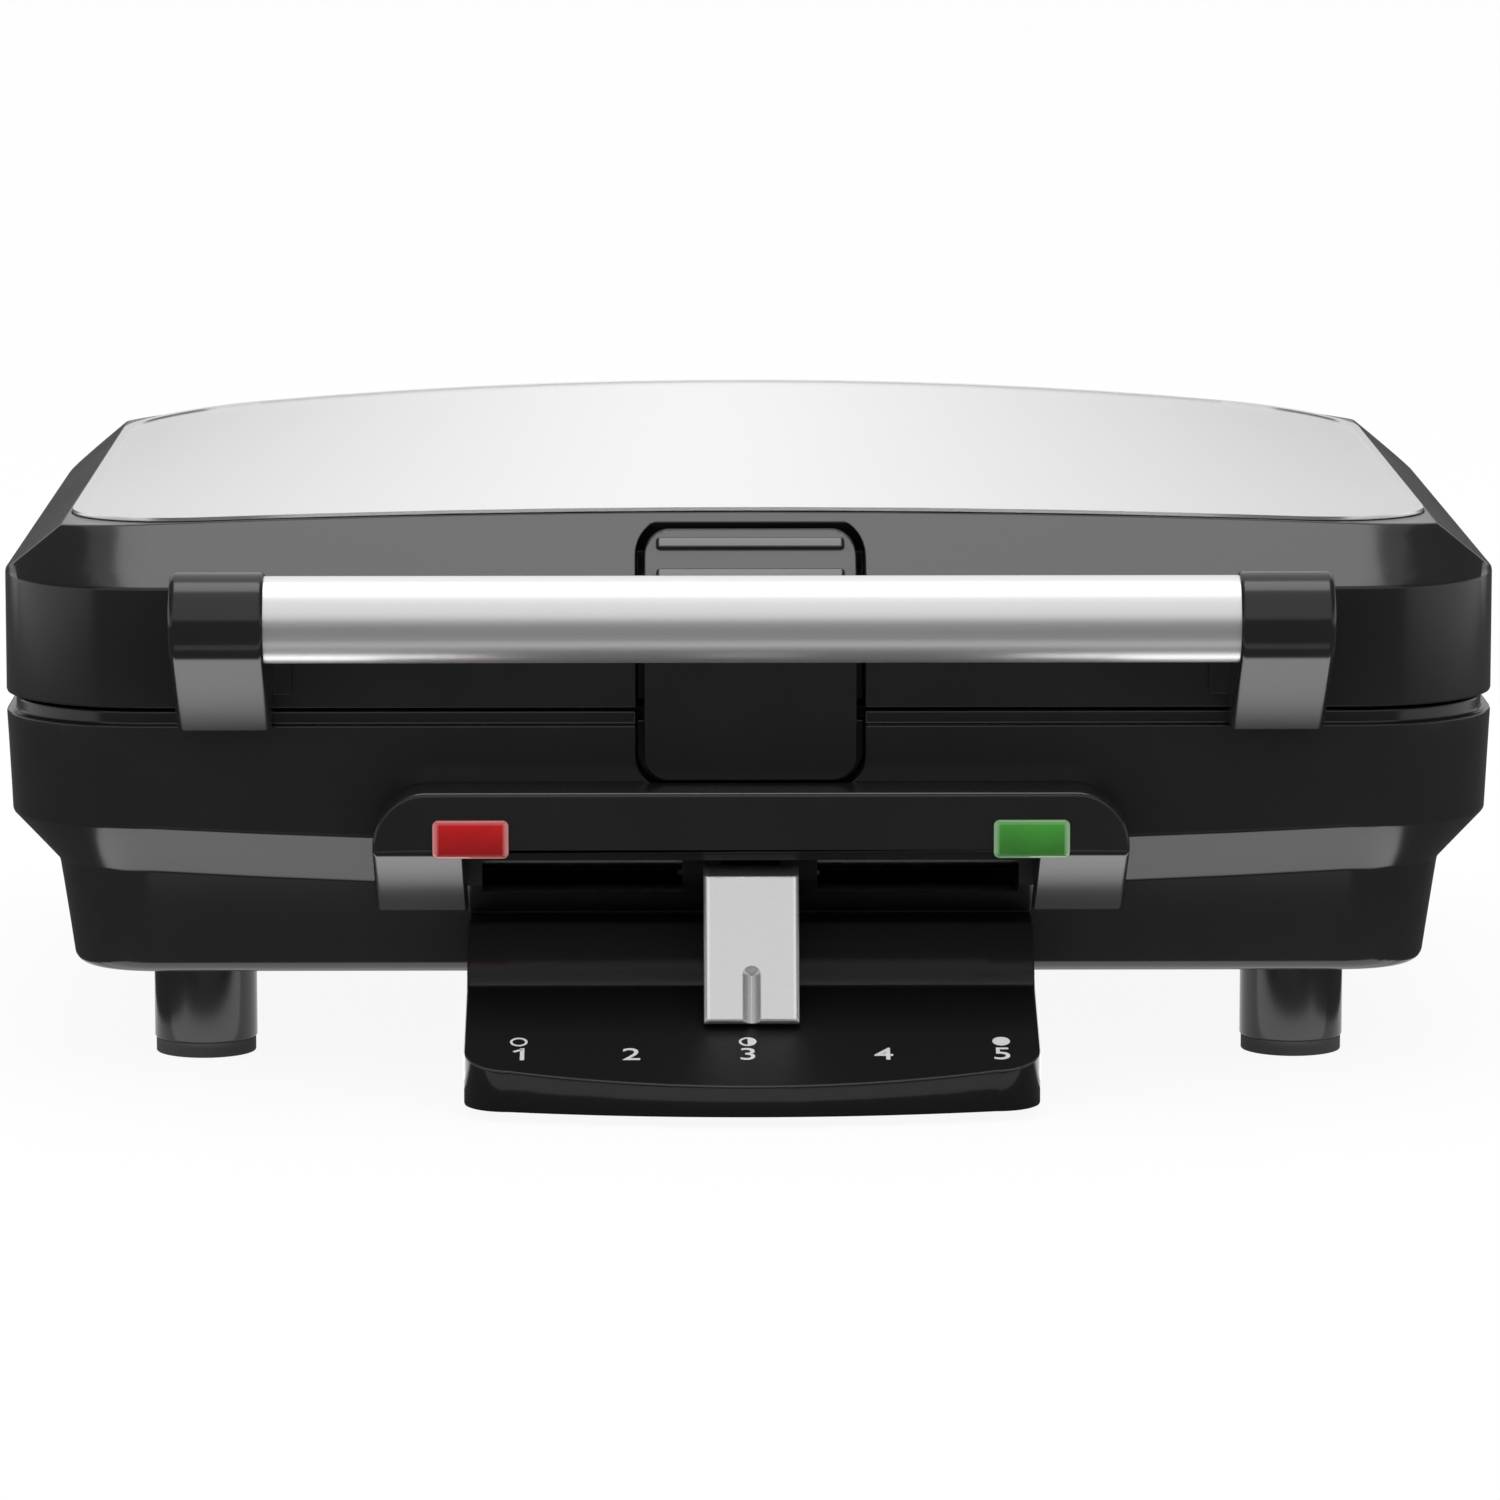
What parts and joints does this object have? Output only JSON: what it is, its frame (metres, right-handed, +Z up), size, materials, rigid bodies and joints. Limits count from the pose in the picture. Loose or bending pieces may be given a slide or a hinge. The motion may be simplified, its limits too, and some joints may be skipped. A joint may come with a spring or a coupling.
{
  "type": "waffle maker",
  "caption": "Countertop waffle maker with a hinged crowned lid, bar handle, rocker latch, cast grid plates and a sliding browning control.",
  "frame": {"origin": "on the table, under the middle of the overall box", "axes": "+X to the right seen from the front, +Y to the back where the hinges are, +Z up; the handle, latch and slider are at -Y"},
  "size_m": [0.3086, 0.306, 0.1226],
  "materials": {
    "gloss_black": "glossy moulded black",
    "stainless": "bright stainless sheet",
    "satin_aluminium": "satin tube",
    "cast_coated": "cast, dark non-stick coating",
    "aluminised_sheet": "aluminised sheet",
    "element_sheath": "heat-dulled tube",
    "zinc_steel": "zinc plated",
    "silver_plastic": "silver coated",
    "red_lens": "translucent red",
    "green_lens": "translucent green",
    "lamp_glass": "clear lamp glass",
    "ceramic_white": "matt insulating body",
    "rubber_grey": "matt grey",
    "rubber_black": "matt black",
    "black_metal": "black coated sheet",
    "spring_steel": "spring strip"
  },
  "bodies": {
    "base": {"base_housing": "gloss_black", "bottom_cover": "black_metal", "bottom_screws": "zinc_steel", "lower_baking_plate": "cast_coated", "lower_heating_element": "element_sheath", "lower_reflector": "aluminised_sheet", "lower_plate_screws": "zinc_steel", "control_panel": "gloss_black", "slot_plate": "gloss_black", "control_tongue": "gloss_black", "control_screws": "zinc_steel", "red_lens": "red_lens", "green_lens": "green_lens", "red_lamp": "lamp_glass", "green_lamp": "lamp_glass", "slider_rail": "zinc_steel", "thermostat": "ceramic_white", "thermostat_bracket": "aluminised_sheet", "thermal_fuse": "aluminised_sheet", "terminal_block": "ceramic_white", "cord_gland": "rubber_black", "hinge_bracket_left": "black_metal", "hinge_pin_left": "zinc_steel", "foot_front_left": "gloss_black", "foot_pad_front_left": "rubber_grey", "foot_rear_left": "gloss_black", "foot_pad_rear_left": "rubber_grey", "hinge_bracket_right": "black_metal", "hinge_pin_right": "zinc_steel", "foot_front_right": "gloss_black", "foot_pad_front_right": "rubber_grey", "foot_rear_right": "gloss_black", "foot_pad_rear_right": "rubber_grey"},
    "lid": {"lid_housing": "gloss_black", "lid_top_panel": "stainless", "upper_baking_plate": "cast_coated", "upper_heating_element": "element_sheath", "upper_reflector": "aluminised_sheet", "upper_plate_screws": "zinc_steel", "handle_bar": "satin_aluminium", "handle_screws": "zinc_steel", "handle_bracket_left": "gloss_black", "handle_bracket_right": "gloss_black", "hinge_arm_left": "black_metal", "hinge_arm_right": "black_metal", "latch_pin": "zinc_steel", "latch_spring": "spring_steel"},
    "latch": {"latch": "gloss_black"},
    "slider": {"slider_knob": "silver_plastic", "slider_carrier": "gloss_black"},
    "plunger": {"thermostat_plunger": "ceramic_white"}
  },
  "joints": [
    {"name": "lid_hinge", "type": "hinge", "parent": "base", "child": "lid", "pos_m": [0, 0.147, 0.0758], "axis": [-1, 0, 0], "range_deg": [0, 100]},
    {"name": "latch_rock", "type": "hinge", "parent": "lid", "child": "latch", "pos_m": [0, -0.0955, 0.097], "axis": [-1, 0, 0], "range_deg": [0, 8], "stiffness_Nm_per_rad": 0.6, "springref_deg": -2.86, "deforming": ["latch_spring"]},
    {"name": "browning_slide", "type": "slide", "parent": "base", "child": "slider", "axis": [1, 0, 0], "range_m": [-0.048, 0.048]},
    {"name": "plunger_slide", "type": "slide", "parent": "base", "child": "plunger", "axis": [0, -1, 0], "range_m": [-0.0024, 0.0024]}
  ],
  "couplings": [
    {"joint": "plunger_slide", "follows": "browning_slide", "ratio": 0.05}
  ]
}
